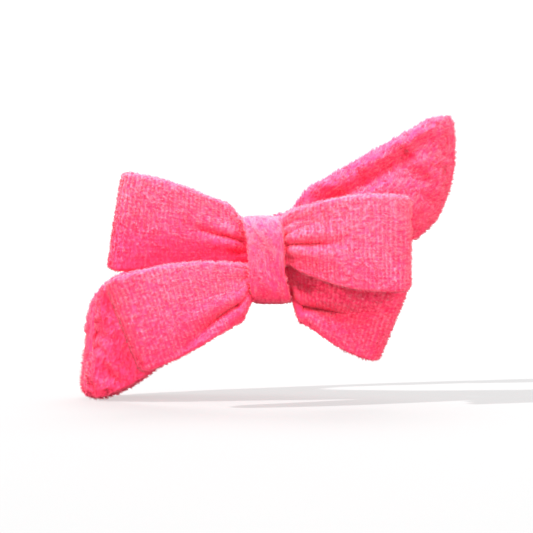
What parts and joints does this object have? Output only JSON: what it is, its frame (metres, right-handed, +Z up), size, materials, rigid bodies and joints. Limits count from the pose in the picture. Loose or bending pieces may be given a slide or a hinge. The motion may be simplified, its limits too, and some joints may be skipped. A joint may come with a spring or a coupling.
{
  "type": "spa headband",
  "caption": "Plush stretch headband with a crossed double bow on its front, for holding hair back in a spa or bath.",
  "frame": {"origin": "the middle of the opening that the head goes through", "axes": "+X to the right of someone who faces the bow, +Y from the bow to the back of the head, +Z up through the opening"},
  "size_m": [0.1976, 0.1336, 0.1516],
  "materials": {
    "plush": "short-pile velour, pink",
    "wadding": "polyester wadding, white",
    "thread": "polyester sewing thread, pink",
    "elastic": "knitted elastic, white",
    "label": "woven satin label, blank"
  },
  "bodies": {
    "band": {"front_band_outer": "plush", "front_band_lining": "plush", "front_band_wadding": "wadding", "upper_rim_seam": "plush", "lower_rim_seam": "plush", "left_seam_thread": "thread", "right_seam_thread": "thread"},
    "rear_band": {"rear_casing": "plush", "rear_elastic": "elastic", "care_label": "label"},
    "knot": {"knot_wrap": "plush", "knot_closing_stitch": "thread", "binding_thread": "thread", "front_strip_centre": "plush", "rear_strip_centre": "plush"},
    "rear_left_lobe": {"bow_rear_left": "plush", "bow_rear_left_seam": "thread"},
    "front_left_lobe": {"bow_front_left": "plush", "bow_front_left_seam": "thread"},
    "rear_right_lobe": {"bow_rear_right": "plush", "bow_rear_right_seam": "thread"},
    "front_right_lobe": {"bow_front_right": "plush", "bow_front_right_seam": "thread"}
  },
  "joints": [
    {"name": "band_stretch", "type": "slide", "parent": "band", "child": "rear_band", "axis": [0, 1, 0], "range_m": [0, 0.045], "stiffness_N_per_m": 180},
    {"name": "bow_swivel", "type": "hinge", "parent": "band", "child": "knot", "pos_m": [0, -0.0529, 0], "axis": [0, 1, 0], "range_deg": [-8, 8], "stiffness_Nm_per_rad": 0.2},
    {"name": "rear_left_bend", "type": "hinge", "parent": "knot", "child": "rear_left_lobe", "pos_m": [-0.0126, -0.05425, 0.0095], "axis": [0.1392, 0, -0.9903], "range_deg": [0, 10], "stiffness_Nm_per_rad": 0.06},
    {"name": "front_left_bend", "type": "hinge", "parent": "knot", "child": "front_left_lobe", "pos_m": [-0.0096, -0.06145, -0.0122], "axis": [-0.1392, 0, 0.9903], "range_deg": [0, 20], "stiffness_Nm_per_rad": 0.06},
    {"name": "rear_right_bend", "type": "hinge", "parent": "knot", "child": "rear_right_lobe", "pos_m": [0.013, -0.05425, -0.0118], "axis": [-0.1392, 0, 0.9903], "range_deg": [0, 10], "stiffness_Nm_per_rad": 0.06},
    {"name": "front_right_bend", "type": "hinge", "parent": "knot", "child": "front_right_lobe", "pos_m": [0.01, -0.06145, 0.009], "axis": [0.1392, 0, -0.9903], "range_deg": [0, 20], "stiffness_Nm_per_rad": 0.06}
  ]
}
